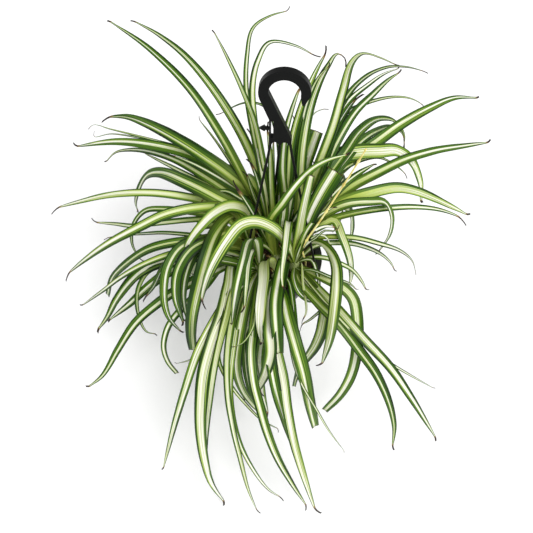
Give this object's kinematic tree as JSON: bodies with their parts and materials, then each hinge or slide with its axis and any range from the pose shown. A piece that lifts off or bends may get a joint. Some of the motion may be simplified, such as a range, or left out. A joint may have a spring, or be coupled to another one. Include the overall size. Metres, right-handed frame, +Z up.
{
  "type": "potted spider plant",
  "caption": "Variegated spider plant with arching striped leaves in a small round black hanging pot with a plastic hook hanger.",
  "frame": {"origin": "the point inside the top of the hook where the rail that the pot hangs from touches it", "axes": "+Z up, -Y towards the viewer of the picture, +X to the viewer's right"},
  "size_m": [0.5926, 0.485, 0.5227],
  "materials": {
    "black_plastic": "moulded black polypropylene, fine satin grain",
    "potting_soil": "loose dark peat with bark and fibre",
    "leaf": "living leaf, satin, green margins and cream centre stripe",
    "dried_stalk": "dry straw-yellow stem"
  },
  "bodies": {
    "root": {"pot": "black_plastic", "soil": "potting_soil", "hanger_hook": "black_plastic", "strand_back": "black_plastic", "strand_left": "black_plastic", "strand_right": "black_plastic", "rosette_back": "leaf", "rosette_right": "leaf", "rosette_left": "leaf", "rosette_front_left": "leaf", "rosette_front": "leaf", "rosette_front_right": "leaf", "rosette_centre": "leaf", "flower_stalk": "dried_stalk"}
  },
  "joints": []
}
